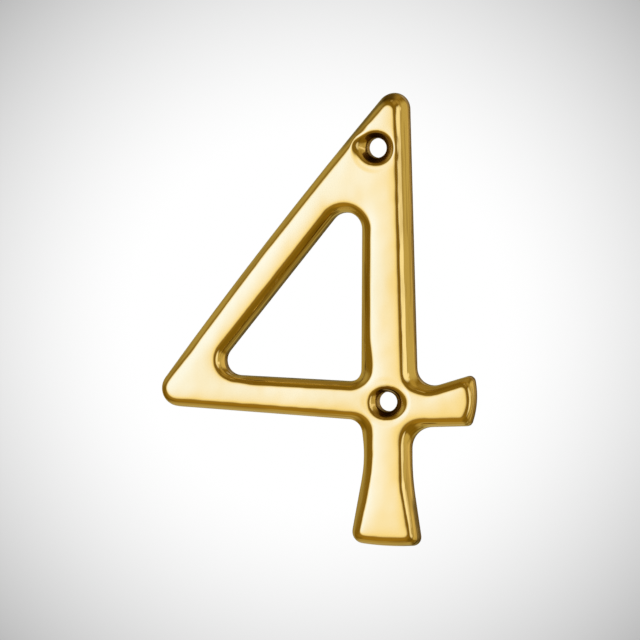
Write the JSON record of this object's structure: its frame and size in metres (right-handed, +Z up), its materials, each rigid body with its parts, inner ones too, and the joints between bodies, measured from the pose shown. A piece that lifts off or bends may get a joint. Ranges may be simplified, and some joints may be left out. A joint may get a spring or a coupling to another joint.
{
  "type": "house number",
  "caption": "Polished cast brass house number in the shape of the numeral 4, with rounded edges, a triangular counter, a flat back and countersunk holes for fixing it to a door.",
  "frame": {"origin": "on the flat back, midway between the screw holes", "axes": "+Z up the numeral as it hangs on a door, +Y out of the back into the door, so the face looks along -Y"},
  "size_m": [0.0539, 0.0035, 0.0757],
  "materials": {
    "polished_brass": "polished"
  },
  "bodies": {
    "root": {"numeral_four": "polished_brass"}
  },
  "joints": []
}
